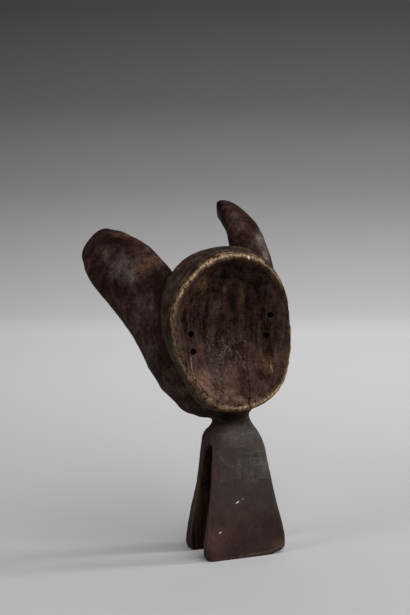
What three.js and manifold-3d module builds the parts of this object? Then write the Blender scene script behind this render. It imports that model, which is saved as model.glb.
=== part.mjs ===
// A crest mask carved from one block of wood, standing on the ends of its two jaws.
// Millimetres, +Z up, with the origin on the sole of the front foot. X runs across the head,
// and Y runs from the rim of the cap towards the back of its dome. The cap, with its horns,
// and the jaws are each laid out upright over a point between the feet, then leaned sideways
// as the carving stands, and moved together onto the origin at the end.

import * as THREE from "three";
import { mergeVertices } from "three/addons/utils/BufferGeometryUtils.js";
import Module from "manifold-3d";

const wasm = await Module();
wasm.setup();

// Stance: the tops lean towards -X, the cap more than the jaws
const CAP_LEAN = 9.1;
const JAW_LEAN = 3.4;
const NECK_X = -9.9;
const NECK_Z = 183; // the cap leans about this point
const FRONT_FOOT_Y = -18.5; // middle of the front foot's sole, which becomes the origin

// Cap: a bowl worn on the head. Its rim lies in the plane Y = RIM_Y.
const RIM_Y = -51;
const RIM_X = -1;
const RIM_Z = 296;
const RIM_RADII = [77, 86, 95.5, 97.5, 91, 85, 78.5, 78, 89.5, 97, 97, 82.5]; // every 30 degrees from +X
const GIRTH_SWELLS = [1, 3, 8, 10, 18, 10, 5, 5, 9, 7, 4, 1]; // the wall beyond the rim, likewise
const GIRTH_DEPTH = 18;
const DOME_DEPTH = 66;
const DOME_FULLNESS = 2.5;
const RIM_WIDTH = 8.5;
const BOWL_DEPTH = 42;
const BOWL_FULLNESS = 2;
const POLE = 0.97 * (Math.PI / 2); // rings stop here, and a small fan closes the end

// Lacing holes: a pair on each side of the bowl. The two of a pair meet inside the wood.
const HOLE_RADIUS = 3.8;
const HOLE_LEAD_IN = 14; // how far the drill starts outside the mouth
const HOLE_OVERRUN = 4;
const HOLE_SIDES = 12;
const HOLE_PAIRS = [
  { mouths: [[-47.5, -26.8, 301.9], [-49.3, -31.1, 280.4]], meeting: [-57, -8, 291] },
  { mouths: [[56.3, -36.2, 304.4], [49, -31.2, 278.7]], meeting: [61, -12, 292] },
];

// Horns: flattened blades that grow out of the dome. Each row is a cut across a horn: its
// middle, with X away from the centre, half its breadth and half its thickness.
const LEFT_HORN = [
  { at: [29, 8, 215], breadth: 34, thickness: 24 },
  { at: [46, 14, 252], breadth: 41.5, thickness: 30 },
  { at: [57.2, 28, 307.4], breadth: 44.6, thickness: 29 },
  { at: [71.4, 56, 349.5], breadth: 44.3, thickness: 25 },
  { at: [80.3, 88, 373], breadth: 44, thickness: 20 },
  { at: [85.6, 114, 385], breadth: 41, thickness: 17 },
  { at: [89.2, 135, 394.6], breadth: 35.6, thickness: 15 },
  { at: [92.2, 152, 402.3], breadth: 28, thickness: 13 },
];
const RIGHT_HORN = [
  { at: [29, 8, 215], breadth: 34, thickness: 24 },
  { at: [45, 14, 250], breadth: 39, thickness: 29 },
  { at: [61, 28, 306], breadth: 35, thickness: 28 },
  { at: [78.5, 56, 353], breadth: 29.5, thickness: 24 },
  { at: [92, 92, 383], breadth: 28.8, thickness: 19 },
  { at: [98, 120, 397], breadth: 29.4, thickness: 17 },
  { at: [99, 150, 408], breadth: 29, thickness: 15 },
];
// The right tip is chopped off: a point on the cut, and the way the cut faces
const CHOP_AT = [78.6, 140, 419];
const CHOP_WAY = [-0.97, 0.23, 0.05];
const HORN_BREADTH_WAY = [-0.72, -0.1, 0.69];
const HORN_ROOT = 15; // length of the rounded end inside the dome
const HORN_TIP = 15; // length of the rounded tip
const HORN_FULLNESS = 2.3;
const HORN_END_FULLNESS = 2.2;
const HORN_END_TURN = 0.94 * (Math.PI / 2); // a horn's end is left slightly flat
const CHOP_SIZE = 60;

// Muzzle: a neck and two jaws with an open mouth between them. Each row is a cut across
// it: its height, half its width in front, its sideways shift, front, back and corner radius.
const MUZZLE_CUTS = [
  { z: -10, half: 38, shift: -8, front: -25, back: 50, corner: 5 },
  { z: -2, half: 41.3, shift: -5.3, front: -25, back: 49.2, corner: 5 },
  { z: -0.8, half: 44.2, shift: -2.6, front: -25, back: 49.1, corner: 5 },
  { z: 1.2, half: 50.3, shift: 2.2, front: -25, back: 49, corner: 5 },
  { z: 4.7, half: 53.4, shift: 2.7, front: -25, back: 48.8, corner: 5 },
  { z: 10.5, half: 54.8, shift: 2.5, front: -25, back: 48.4, corner: 5 },
  { z: 20, half: 54.8, shift: 2.5, front: -25, back: 47.6, corner: 5 },
  { z: 38, half: 51.7, shift: 2.5, front: -25, back: 45.5, corner: 5 },
  { z: 62, half: 46.3, shift: 2.4, front: -25, back: 42.3, corner: 5 },
  { z: 90, half: 41.2, shift: 2.2, front: -25, back: 37, corner: 5 },
  { z: 115, half: 37.6, shift: 2, front: -25, back: 32, corner: 5 },
  { z: 138, half: 34.5, shift: 1.3, front: -25, back: 28.5, corner: 5 },
  { z: 153, half: 31.7, shift: 0.3, front: -24, back: 26, corner: 6 },
  { z: 161, half: 29.3, shift: -0.3, front: -22, back: 23, corner: 8 },
  { z: 166, half: 26.5, shift: -0.3, front: -19, back: 20, corner: 10 },
  { z: 172, half: 24, shift: 0.3, front: -15, back: 18, corner: 12 },
  { z: 178, half: 23.4, shift: 0.6, front: -11, back: 18, corner: 13 },
  { z: 182, half: 28, shift: -3.5, front: -11, back: 20, corner: 13 },
  { z: 185.5, half: 36, shift: -8, front: -13, back: 24, corner: 15 },
  { z: 192, half: 42, shift: -8, front: -18, back: 29, corner: 17 },
  { z: 207, half: 46, shift: -5, front: -20, back: 34, corner: 20 },
  { z: 228, half: 44, shift: -5, front: -20, back: 34, corner: 22 },
  { z: 250, half: 34, shift: -5, front: -14, back: 25, corner: 18 },
];
const BACK_JAW_FLARE = 0.03; // how much wider the muzzle's back is than its front
const MOUTH_FRONT_Y = -12; // inner face of the front jaw
// Inner face of the back jaw, from the floor up and over the top of the gap: Y, Z
const MOUTH_BACK = [
  [28, 0], [27, 25], [25, 48], [21.5, 80], [15.5, 110], [9, 134], [1, 146], [-6, 149], [-11, 145],
];
const MOUTH_LAST = [MOUTH_FRONT_Y, 137]; // where the top of the gap joins its front
const MOUTH_LENGTH = 200; // along X, past both sides of the jaws
const BELOW_FLOOR = 20; // how far the mouth's cut runs below the floor
const FLOOR_BLOCK = 400; // side of the block that cuts the feet level

// Mesh fineness
const DOME_STEPS = 16;
const BOWL_STEPS = 14;
const HORN_STEPS = 16;
const HORN_END_STEPS = 5;
const HORN_POINTS = 28;
const CORNER_POINTS = 6;
const CAP_POINTS = 54;

const TAU = 2 * Math.PI;
const Y_AXIS = new THREE.Vector3(0, 1, 0);

function smooth(a, b, x) {
  return THREE.MathUtils.smoothstep(x, a, b);
}

// A point at the given angle of a superellipse: exponent 2 is an ellipse, larger is squarer.
function superellipse(angle, halfA, halfB, exponent) {
  const c = Math.cos(angle);
  const s = Math.sin(angle);
  const r = (Math.abs(c) ** exponent + Math.abs(s) ** exponent) ** (-1 / exponent);
  return [halfA * c * r, halfB * s * r];
}

// The value at t, from 0 to 1, of a list of evenly spaced values joined smoothly.
function along(values, t, closed = false) {
  const points = values.map((v, i) => new THREE.Vector3(i, v, 0));
  return new THREE.CatmullRomCurve3(points, closed, "catmullrom").getPoint(t).y;
}

// A closed skin through rings of the same number of points, each end closed by a fan.
function loft(rings) {
  const count = rings[0].length;
  const points = rings.flat();
  const faces = [];
  for (let k = 0; k + 1 < rings.length; k++) {
    for (let i = 0; i < count; i++) {
      const a = k * count + i;
      const b = k * count + ((i + 1) % count);
      faces.push(a, b, a + count, b, b + count, a + count);
    }
  }
  const middle = (ring) =>
    ring.reduce((sum, p) => sum.add(p), new THREE.Vector3()).divideScalar(count);
  const first = points.push(middle(rings[0])) - 1;
  const last = points.push(middle(rings[rings.length - 1])) - 1;
  const top = (rings.length - 1) * count;
  for (let i = 0; i < count; i++) {
    const next = (i + 1) % count;
    faces.push(first, next, i);
    faces.push(last, top + i, top + next);
  }
  const geometry = new THREE.BufferGeometry().setFromPoints(points);
  geometry.setIndex(faces);
  return geometry;
}

// A geometry as a solid, turned the right way out.
function solid(geometry) {
  const bare = new THREE.BufferGeometry();
  bare.setAttribute("position", geometry.getAttribute("position"));
  if (geometry.index) bare.setIndex(geometry.index);
  const merged = mergeVertices(bare, 1e-3);
  const triVerts = new Uint32Array(merged.index.array);
  const vertProperties = merged.attributes.position.array;
  const made = new wasm.Manifold(new wasm.Mesh({ numProp: 3, vertProperties, triVerts }));
  if (made.volume() > 0) return made;
  for (let i = 0; i < triVerts.length; i += 3) {
    [triVerts[i], triVerts[i + 1]] = [triVerts[i + 1], triVerts[i]];
  }
  return new wasm.Manifold(new wasm.Mesh({ numProp: 3, vertProperties, triVerts }));
}

// One ring of the cap, in a plane of constant Y. Grow maps a direction to its radius.
function capRing(y, grow) {
  const ring = [];
  for (let i = 0; i < CAP_POINTS; i++) {
    const t = i / CAP_POINTS;
    const radius = grow(along(RIM_RADII, t, true), along(GIRTH_SWELLS, t, true));
    const angle = t * TAU;
    ring.push(
      new THREE.Vector3(RIM_X + radius * Math.cos(angle), y, RIM_Z + radius * Math.sin(angle)),
    );
  }
  return ring;
}

function dome() {
  const rings = [];
  for (let k = 0; k <= DOME_STEPS; k++) {
    const [shrink, deep] = superellipse((k / DOME_STEPS) * POLE, 1, 1, DOME_FULLNESS);
    const depth = deep * DOME_DEPTH;
    const swollen = smooth(-6, GIRTH_DEPTH, depth);
    rings.push(capRing(RIM_Y + depth, (rim, swell) => (rim + swell * swollen) * shrink));
  }
  return loft(rings);
}

function bowl() {
  const rings = [capRing(RIM_Y - 20, (rim) => rim - RIM_WIDTH)];
  for (let k = 0; k <= BOWL_STEPS; k++) {
    const reach = Math.cos((k / BOWL_STEPS) * POLE);
    const depth = BOWL_DEPTH * (1 - reach ** BOWL_FULLNESS);
    rings.push(capRing(RIM_Y + depth, (rim) => (rim - RIM_WIDTH) * reach));
  }
  return loft(rings);
}

function horn(cuts, side) {
  const path = new THREE.CatmullRomCurve3(
    cuts.map(({ at: [x, y, z] }) => new THREE.Vector3(side * x, y, z)),
  );
  const across = new THREE.Vector3(side * HORN_BREADTH_WAY[0], ...HORN_BREADTH_WAY.slice(1));
  const rings = [];
  const cut = (t, push, scale) => {
    const centre = path.getPoint(t);
    const ahead = path.getTangent(t);
    const wide = across.clone().addScaledVector(ahead, -across.dot(ahead)).normalize();
    const thin = new THREE.Vector3().crossVectors(ahead, wide);
    const breadth = along(cuts.map((c) => c.breadth), t) * scale;
    const thickness = along(cuts.map((c) => c.thickness), t) * scale;
    centre.addScaledVector(ahead, push);
    const ring = [];
    for (let i = 0; i < HORN_POINTS; i++) {
      const angle = (i / HORN_POINTS) * TAU;
      const [u, v] = superellipse(angle, breadth, thickness, HORN_FULLNESS);
      ring.push(centre.clone().addScaledVector(wide, u).addScaledVector(thin, v));
    }
    rings.push(ring);
  };
  const rounded = (k) =>
    superellipse((k / HORN_END_STEPS) * HORN_END_TURN, 1, 1, HORN_END_FULLNESS);
  for (let k = HORN_END_STEPS; k > 0; k--) {
    const [shrink, push] = rounded(k);
    cut(0, -HORN_ROOT * push, shrink);
  }
  for (let k = 0; k <= HORN_STEPS; k++) cut(k / HORN_STEPS, 0, 1);
  for (let k = 1; k <= HORN_END_STEPS; k++) {
    const [shrink, push] = rounded(k);
    cut(1, HORN_TIP * push, shrink);
  }
  return loft(rings);
}

// What was chopped off the right horn's tip: a block beyond the cut.
function chop() {
  const way = new THREE.Vector3(...CHOP_WAY).normalize();
  const block = new THREE.BoxGeometry(CHOP_SIZE, CHOP_SIZE, CHOP_SIZE);
  block.translate(0, CHOP_SIZE / 2, 0);
  block.applyQuaternion(new THREE.Quaternion().setFromUnitVectors(Y_AXIS, way));
  return block.translate(...CHOP_AT);
}

// A drilled hole, from above its mouth to the place where its pair meets.
function hole(mouth, meeting) {
  const start = new THREE.Vector3(...mouth);
  const end = new THREE.Vector3(...meeting);
  const way = end.clone().sub(start).normalize();
  start.addScaledVector(way, -HOLE_LEAD_IN);
  end.addScaledVector(way, HOLE_OVERRUN);
  const length = start.distanceTo(end);
  const drill = new THREE.CylinderGeometry(HOLE_RADIUS, HOLE_RADIUS, length, HOLE_SIDES);
  drill.applyQuaternion(new THREE.Quaternion().setFromUnitVectors(Y_AXIS, way));
  return drill.translate(...start.lerp(end, 0.5).toArray());
}

// One cut of the muzzle: a rectangle with round corners, a little wider at the back.
function muzzleRing({ z, half, shift, front, back, corner }) {
  const ring = [];
  for (let quarter = 0; quarter < 4; quarter++) {
    const toRight = quarter === 0 || quarter === 3;
    const toBack = quarter < 2;
    const cornerX = (toRight ? 1 : -1) * (half - corner);
    const cornerY = toBack ? back - corner : front + corner;
    for (let i = 0; i < CORNER_POINTS; i++) {
      const angle = ((quarter + i / (CORNER_POINTS - 1)) * TAU) / 4;
      const x = cornerX + corner * Math.cos(angle);
      const y = cornerY + corner * Math.sin(angle);
      const flare = 1 + (BACK_JAW_FLARE * (y - front)) / (MUZZLE_CUTS[0].back - front);
      ring.push(new THREE.Vector3(shift + x * flare, y, z));
    }
  }
  return ring;
}

// The neck and both jaws as one bar, from the floor up into the dome.
function muzzle() {
  return loft(MUZZLE_CUTS.map(muzzleRing));
}

// The gap between the jaws. Its front is upright, and its back bends in towards the top.
function mouth() {
  const outline = new THREE.Shape();
  outline.moveTo(MOUTH_FRONT_Y, -BELOW_FLOOR);
  outline.lineTo(MOUTH_BACK[0][0], -BELOW_FLOOR);
  outline.lineTo(...MOUTH_BACK[0]);
  const onwards = [...MOUTH_BACK.slice(1), MOUTH_LAST];
  outline.splineThru(onwards.map(([y, z]) => new THREE.Vector2(y, z)));
  outline.closePath();
  const wedge = new THREE.ExtrudeGeometry(outline, {
    depth: MOUTH_LENGTH,
    bevelEnabled: false,
    curveSegments: 3,
  });
  // The outline's first axis becomes Y and its second Z, and the depth runs along X.
  const turn = new THREE.Matrix4().makeBasis(
    new THREE.Vector3(0, 1, 0),
    new THREE.Vector3(0, 0, 1),
    new THREE.Vector3(1, 0, 0),
  );
  return wedge.translate(0, 0, -MOUTH_LENGTH / 2).applyMatrix4(turn);
}

function leaned(geometry, lean, x = 0, z = 0) {
  return geometry
    .translate(0, 0, -z)
    .rotateY(-THREE.MathUtils.degToRad(lean))
    .translate(x, 0, z);
}

function inCap(geometry) {
  return solid(leaned(geometry, CAP_LEAN, NECK_X, NECK_Z));
}

function inJaws(geometry) {
  return solid(leaned(geometry, JAW_LEAN));
}

function geometryOf(made) {
  const mesh = made.getMesh();
  const geometry = new THREE.BufferGeometry();
  geometry.setAttribute("position", new THREE.BufferAttribute(mesh.vertProperties, 3));
  geometry.setIndex(new THREE.BufferAttribute(mesh.triVerts, 1));
  return geometry;
}

function crestMask() {
  let hollow = inCap(bowl());
  for (const { mouths, meeting } of HOLE_PAIRS) {
    for (const mouthPoint of mouths) hollow = hollow.add(inCap(hole(mouthPoint, meeting)));
  }
  const floor = new THREE.BoxGeometry(FLOOR_BLOCK, FLOOR_BLOCK, FLOOR_BLOCK);
  floor.translate(0, 0, -FLOOR_BLOCK / 2);
  const jaws = inJaws(muzzle()).subtract(inJaws(mouth()));
  return inCap(dome())
    .add(inCap(horn(LEFT_HORN, -1)))
    .add(inCap(horn(RIGHT_HORN, 1)).subtract(inCap(chop())))
    .add(jaws)
    .subtract(hollow)
    .subtract(solid(floor));
}

const wood = new THREE.MeshStandardMaterial({ color: 0x3a2a22, roughness: 0.62, metalness: 0 });
const mask = new THREE.Mesh(geometryOf(crestMask()), wood);
mask.geometry.computeVertexNormals();
mask.name = "crest_mask";
mask.position.y = -FRONT_FOOT_Y;

const group = new THREE.Group();
group.add(mask);

export default group;
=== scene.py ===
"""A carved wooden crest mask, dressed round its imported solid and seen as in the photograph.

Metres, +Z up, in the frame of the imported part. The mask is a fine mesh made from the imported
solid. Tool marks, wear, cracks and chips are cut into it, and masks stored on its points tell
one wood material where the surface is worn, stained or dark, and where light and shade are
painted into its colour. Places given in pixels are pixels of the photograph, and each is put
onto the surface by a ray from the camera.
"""

import math

import bmesh
import bpy
import numpy as np
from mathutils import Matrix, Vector, noise
from mathutils.bvhtree import BVHTree
from mathutils.kdtree import KDTree

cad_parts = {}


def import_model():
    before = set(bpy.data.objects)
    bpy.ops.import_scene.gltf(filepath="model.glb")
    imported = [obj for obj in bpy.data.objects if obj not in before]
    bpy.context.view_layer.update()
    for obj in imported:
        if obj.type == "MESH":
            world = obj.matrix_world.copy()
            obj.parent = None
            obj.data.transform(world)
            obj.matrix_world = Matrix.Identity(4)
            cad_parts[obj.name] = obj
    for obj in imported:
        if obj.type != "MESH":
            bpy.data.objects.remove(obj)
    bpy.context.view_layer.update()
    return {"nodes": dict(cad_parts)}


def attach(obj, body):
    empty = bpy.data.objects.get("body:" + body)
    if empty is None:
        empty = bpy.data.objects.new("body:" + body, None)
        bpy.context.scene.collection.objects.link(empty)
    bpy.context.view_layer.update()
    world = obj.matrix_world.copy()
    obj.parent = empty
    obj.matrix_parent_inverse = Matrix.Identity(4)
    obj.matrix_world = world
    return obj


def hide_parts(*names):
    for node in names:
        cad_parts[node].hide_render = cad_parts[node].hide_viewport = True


MM = 0.001

# Camera, as worked out from the photograph
PHOTO_SIZE = (410, 615)
SENSOR = 36.0
LENS = 85.0
FOCAL_PIXELS = LENS / SENSOR * PHOTO_SIZE[1]
CAMERA_AZIMUTH = math.radians(23.5)
CAMERA_YAW = math.radians(-1.36)
CAMERA_HEADING = CAMERA_AZIMUTH + CAMERA_YAW
CAMERA_PITCH = math.radians(8.3)
CAMERA_DISTANCE = 1.8
CAMERA_HEIGHT = 0.58
CAMERA_CLIP_END = 50

# The carving's own layout, which the masks on its surface follow
FEET_MIDDLE_Y = 18.5 * MM
CAP_LEAN = math.radians(9.1)
NECK = (-9.9 * MM, 183 * MM)
RIM_Y = -51 * MM
RIM_CENTRE = (-1 * MM, 296 * MM)
RIM_RADII = [77, 86, 95.5, 97.5, 91, 85, 78.5, 78, 89.5, 97, 97, 82.5]
RIM_WIDTH = 8.5 * MM
RIM_TURN_RADIUS = 90 * MM
BOWL_DEPTH = 42 * MM
JAW_TOP = 165 * MM

# How worn the rim's crest is, and the width of its worn band in mm, every 30 degrees from +X
RIM_WEAR = [0.1, 0.12, 0.75, 1.0, 1.0, 0.55, 0.2, 0.25, 0.6, 1.0, 0.9, 0.2]
RIM_WEAR_WIDTH = [1.5, 2.5, 5.2, 6.2, 5.2, 4.8, 7.5, 7.5, 7.5, 6.5, 4.5, 2.0]

# The bright line worn along the rim: how far in it runs in mm, and its strength, likewise
RIM_LINE_INSET = [1, 1.5, 2.2, 2.4, 1.8, 1.8, 2.4, 2, 2, 2.5, 2, 1]
RIM_LINE = [0.1, 0.12, 0.75, 1.0, 1.0, 0.5, 0.15, 0.1, 0.25, 0.85, 0.75, 0.2]

# Lacing holes, in the upright cap: the middle of each mouth and where its bore heads, in mm
LACING_HOLES = [
    {"mouth": (-47.5, -26.8, 301.9), "end": (-57, -8, 291)},
    {"mouth": (-49.3, -31.1, 280.4), "end": (-57, -8, 291)},
    {"mouth": (56.3, -36.2, 304.4), "end": (61, -12, 292)},
    {"mouth": (49, -31.2, 278.7), "end": (61, -12, 292)},
]
BORE_RADIUS = 3.8 * MM
BORE_LEAD_IN = 6 * MM
BORE_OVERRUN = 4 * MM
BORE_SLACK = 0.1 * MM
PIT_RADIUS = 3.6 * MM
PIT_DEPTH = 9 * MM

# Where the root of the left horn swells towards the neck: pixel, reach and height in mm, and
# which way it swells, right and up in the photograph
ROOT_SWELL = {"at": (191, 408), "reach": 27, "height": 4.0, "way": (-0.55, -0.83)}
ROOT_SWELL_ROUNDS = 80

# Fine mesh: how near each other points of the solid are welded, and the size of its cells
WELD = 1e-5
VOXEL = 2.1 * MM
# Rounds of smoothing of most of it, of its crisp parts, of where these two meet, and of the
# level that ridges and hollows are measured from
SMOOTH_ROUNDS = 22
CRISP_ROUNDS = 5
HOLD_ROUNDS = 4
LEVEL_ROUNDS = 14
SMOOTH_SHARE = 0.5
REGROW_SHARE = 0.52
# How near the rim and all marks, the cut ones, and the mouths and edges of the lacing holes
# it is made finer
MARK_REACH = 3.2 * MM
CUT_REACH = 1.8 * MM
MOUTH_REACH = 9 * MM
MOUTH_EDGE_REACH = 7.5 * MM
# How far apart in pixels the rays along a mark are, and a place away from the mask
PIXEL_STEP = 0.6
NOWHERE = (0, 0, -9)

# How far the noise of one seed lies from that of the next
CLOUD_SHIFT = 7.31
DISH_SHIFT = 3.77

# Tool marks: the size of one along X, Y and Z, its height, both in mm, and the noise's seed.
# Dishes also have the share of their height that lies below the surface.
SWELL = {"size": 50, "height": 0.8, "seed": 1}
FACETS = {"size": (25, 25, 34), "height": 1.2, "seed": 3, "sunk": 0.33}
CHOPS = {"size": (13, 13, 15), "height": 1.0, "seed": 10, "sunk": 0.33}
GOUGES = {"size": (9, 16, 22), "height": 0.4, "seed": 6, "sunk": 0.45}
STREAKS = {"size": (5, 9, 60), "height": 0.3, "seed": 12}
CHATTER = {"size": (9, 9, 1.8), "height": 0.06, "seed": 7}
HEWING = {"size": (5, 12, 16), "height": 1.2, "seed": 8, "sunk": 0.5}

# Heights of the rim's slope into the bowl, its waves, its nicks and its worn edges
RIM_BEVEL = 2.6 * MM
RIM_WAVE = 1.0 * MM
RIM_NICK = 0.9 * MM
RIM_EDGE_WEAR = 1.1 * MM

# Marks placed by the photograph's pixels. Widths and depths are in millimetres, and the share
# is how much of the mark's colour shows.
CRACKS = [
    {"path": [(249.5, 398), (248.8, 402), (250, 407.5)], "width": 1.5, "depth": 2.4},
    {"path": [(255, 401.2), (255.3, 401.8)], "width": 1.8, "depth": 1.8},
    {"path": [(246, 346), (247, 365), (249, 384), (249.8, 398)], "width": 0.6, "depth": 0.5},
    {"path": [(247.5, 283), (246, 300), (247, 322)], "width": 1.0, "depth": 0.5, "share": 0.45},
    {"path": [(208, 282.5), (208.6, 285.5)], "width": 1.4, "depth": 1.2},
    {"path": [(207.6, 288.5), (207.8, 290.5)], "width": 1.4, "depth": 1.0},
    {"path": [(192, 337.5), (191.6, 343), (192.6, 348)], "width": 0.7, "depth": 0.3},
    {"path": [(237, 347), (240, 352), (243.5, 357), (246, 362)], "width": 0.7, "depth": 0.4},
    # The last three follow the crevice between the left horn and the collar; their near-black is
    # painted shade
    {"path": [(171.5, 271), (167, 276), (163.5, 283)], "width": 2.6, "depth": 0.8, "share": 0.9},
    {"path": [(163.5, 283), (161, 292), (159.5, 305)], "width": 1.6, "depth": 0.6, "share": 0.7},
    {"path": [(159.5, 305), (159, 320), (160, 338)], "width": 1.2, "depth": 0.4, "share": 0.5},
]
PALE_LINES = [
    {"path": [(190.8, 357), (191.8, 368), (195, 378)], "width": 1.0, "share": 0.8},
    {"path": [(195, 378), (202.4, 392.6), (208, 398)], "width": 1.1, "share": 0.7},
    {"path": [(202, 331), (206, 336), (211, 340), (217, 342), (222, 340)], "width": 0.8, "share": 0.2},
    {"path": [(216, 336), (220, 340), (219, 345), (225, 343), (229, 339)], "width": 0.8, "share": 0.2},
    {"path": [(225, 349), (232, 344), (240, 341), (244, 340)], "width": 0.8, "share": 0.2},
    {"path": [(236, 350), (240, 356), (243, 361), (245, 368)], "width": 1.0, "share": 0.2},
    {"path": [(241, 352), (245, 356), (246, 362)], "width": 0.8, "share": 0.2},
    {"path": [(171, 318), (172.5, 333), (175.5, 348)], "width": 1.2, "share": 0.6},
    {"path": [(175.5, 348), (181, 363), (189, 379)], "width": 1.2, "share": 0.5},
    {"path": [(270.5, 361), (271, 366), (272.5, 371)], "width": 0.9},
    {"path": [(162, 374), (172, 368)], "width": 0.6, "share": 0.3},
    {"path": [(229, 246), (243, 247.5), (252, 251)], "width": 0.7},
    {"path": [(221, 457), (226.6, 464.6), (232, 467), (240, 464.6)], "width": 0.9, "share": 0.16},
    {"path": [(227, 447), (240, 446), (248.5, 448), (254, 452.6)], "width": 0.7, "share": 0.16},
    {"path": [(217, 481), (229, 481), (231, 478), (240, 478), (242, 481)], "width": 0.9, "share": 0.16},
    {"path": [(242, 481), (251, 481), (259.5, 477), (270, 477)], "width": 0.9, "share": 0.16},
    {
        "path": [(213.6, 440), (213.8, 470), (213.2, 496), (210, 520), (208, 548)],
        "width": 2.6, "share": 0.1,
    },
    {"path": [(211, 560), (225, 559), (250, 555)], "width": 1.6, "share": 0.12},
    {"path": [(250, 555), (270, 551), (282, 546)], "width": 1.8, "share": 0.16},
    {"path": [(219, 434), (234, 433)], "width": 0.7, "share": 0.16},
    {"path": [(221, 439), (238, 437.5)], "width": 0.7, "share": 0.16},
    {"path": [(262, 450), (265, 458), (266, 466)], "width": 0.8, "share": 0.16},
    {"path": [(165.5, 291), (164, 298), (163, 307)], "width": 1.2, "share": 0.3},
    {"path": [(163, 307), (162, 322), (162.8, 340)], "width": 1.2, "share": 0.2},
]
CHIPS = [
    {"path": [(236.6, 503.1), (238.7, 501.5)], "width": 1.4, "depth": 0.4},
    {"path": [(242.6, 499.2), (243.4, 499)], "width": 0.7, "depth": 0.2, "share": 0.6},
    {"path": [(219.7, 533.2), (221.1, 532.2)], "width": 1.2, "depth": 0.4},
    {"path": [(248.3, 257), (249.3, 258.3)], "width": 1.8, "depth": 0.4},
]

# Dishes left by the adze: pixel of the middle, half width and half height in millimetres, the
# turn of the width in degrees, the depth in millimetres and how much lighter its colour is, as
# painted light and shade on the facet
SCALLOPS = [
    {"at": (247, 463), "size": (17, 20), "depth": 1.1},
    {"at": (230, 457), "size": (13, 11), "turn": -20, "depth": 0.7},
    {"at": (239, 436), "size": (19, 11), "depth": 0.6},
    {"at": (265, 462), "size": (8, 18), "turn": 10, "depth": 0.5, "tone": 0.1},
    {"at": (222, 473), "size": (11, 9), "depth": 0.5, "tone": 0.02},
    {"at": (116, 256), "size": (27, 15), "turn": -35, "depth": 2.0, "tone": 0.1},
    {"at": (124, 294), "size": (28, 13), "turn": -50, "depth": 1.8, "tone": -0.14},
    {"at": (95, 264), "size": (12, 20), "turn": 20, "depth": 1.4},
    {"at": (116, 240), "size": (24, 5), "turn": -25, "depth": 1.2, "tone": -0.12},
    {"at": (151, 272), "size": (10, 18), "turn": 20, "depth": 1.5, "tone": 0.12},
    {"at": (146, 312), "size": (12, 26), "turn": 30, "depth": 1.4, "tone": 0.06},
    {"at": (158, 345), "size": (10, 28), "turn": 25, "depth": 1.2, "tone": -0.05},
    {"at": (234, 219), "size": (12, 19), "turn": -10, "depth": 1.2, "tone": 0.06},
    {"at": (262, 246), "size": (8, 24), "turn": 15, "depth": 1.3, "tone": 0.25},
    {"at": (243, 241), "size": (12, 11), "depth": 0.9, "tone": -0.12},
    {"at": (219, 207), "size": (3, 5), "depth": 1.2, "tone": -0.3},
]
# How far a dish reaches through the wood as the camera looks
SCALLOP_THICKNESS = 30 * MM

# Stains, worn patches and patches of painted light and shade, of each kind: pixel of the middle,
# half width and half height in millimetres, and how much of it shows
STAINS = {
    "ochre": [
        ((203, 286), (6, 12), 0.75),
        ((267, 363), (8, 11), 0.9),
        ((224.5, 290), (3, 4), 1),
        ((242, 300), (3, 24), 0.5),
        ((151, 263), (7, 11), 0.25),
        ((122, 234), (20, 5), 0.4),
        ((228, 410), (24, 1.8), 1),
        ((197, 490), (5, 50), 0.3),
    ],
    # Warm stains; in the lower left of the bowl they also paint the light falling on that wall
    "warm": [
        ((204, 383), (16, 17), 0.65),
        ((218, 396), (22, 11), 0.7),
        ((245, 401), (22, 6), 0.6),
        ((158, 259), (10, 5), 0.7),
        ((143, 262), (12, 16), 0.45),
        ((232, 218), (12, 14), 0.4),
        ((226, 394), (10, 8), 1),
        ((279, 543), (9, 6), 0.45),
    ],
    # Grey wood on the jaws, cap and bowl; on the faces of both horns, a painted highlight
    "grey_and_painted_highlight": [
        ((134, 322), (14, 26), 0.25),
        ((148, 352), (14, 28), 0.35),
        ((168, 385), (14, 22), 0.3),
        ((193, 520), (5, 30), 0.3),
        ((129, 274), (15, 11), 0.75),
        ((120, 265), (20, 17), 0.6),
        ((104, 255), (16, 12), 0.4),
        ((145, 304), (14, 16), 0.3),
        ((244, 432), (28, 18), 0.85),
        ((254, 463), (22, 24), 0.85),
        ((215, 372), (22, 16), 0.5),
        ((261, 241), (7, 26), 1),
        ((266, 256), (6, 9), 0.8),
    ],
    # Polish, and a pale glint painted on as a highlight where the horns shine
    "gloss_and_painted_glint": [
        ((131, 276), (8, 8), 1),
        ((122, 267), (22, 15), 0.4),
        ((152, 306), (5, 5), 0.5),
        ((265, 256), (6, 9), 0.5),
    ],
    "crackle": [
        ((222, 350), (42, 26), 1),
        ((212, 374), (30, 24), 0.6),
    ],
    # Dark streaks in the wood, and painted shade under the cap, beside the left horn's root, at the top
    # of the bowl and on shaded faces of the horns
    "dark": [
        ((118, 240), (22, 4), 0.5),
        ((107, 235), (8, 4), 0.4),
        ((233, 296), (9, 8), 0.6),
        ((235, 270), (50, 12), 0.5),
        ((262, 290), (16, 26), 0.4),
        ((248, 300), (2.5, 26), 0.8),
        ((252, 330), (2.5, 16), 0.6),
        ((219.5, 211), (4, 15), 1),
        ((229, 417), (20, 9), 1),
        ((204, 414), (20, 9), 0.7),
        ((160, 277), (9, 13), 1),
        ((166, 269), (8, 7), 0.9),
        ((157, 295), (4, 18), 0.8),
        ((173, 272), (4, 9), 0.7),
        ((105, 285), (8, 9), 0.4),
        ((270, 345), (5, 16), 0.4),
        ((172, 336), (9, 22), 0.35),
    ],
    "red": [
        ((215, 540), (16, 22), 0.8),
        ((240, 520), (34, 34), 0.16),
        ((214, 465), (5, 40), 0.7),
        ((210, 510), (6, 40), 0.8),
        ((88, 270), (12, 26), 0.3),
        ((128, 305), (18, 30), 0.25),
        ((218, 305), (18, 18), 0.3),
        ((236, 228), (14, 22), 0.4),
    ],
}
# How far a stain reaches through the wood as the camera looks
STAIN_THICKNESS = 22 * MM

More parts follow.
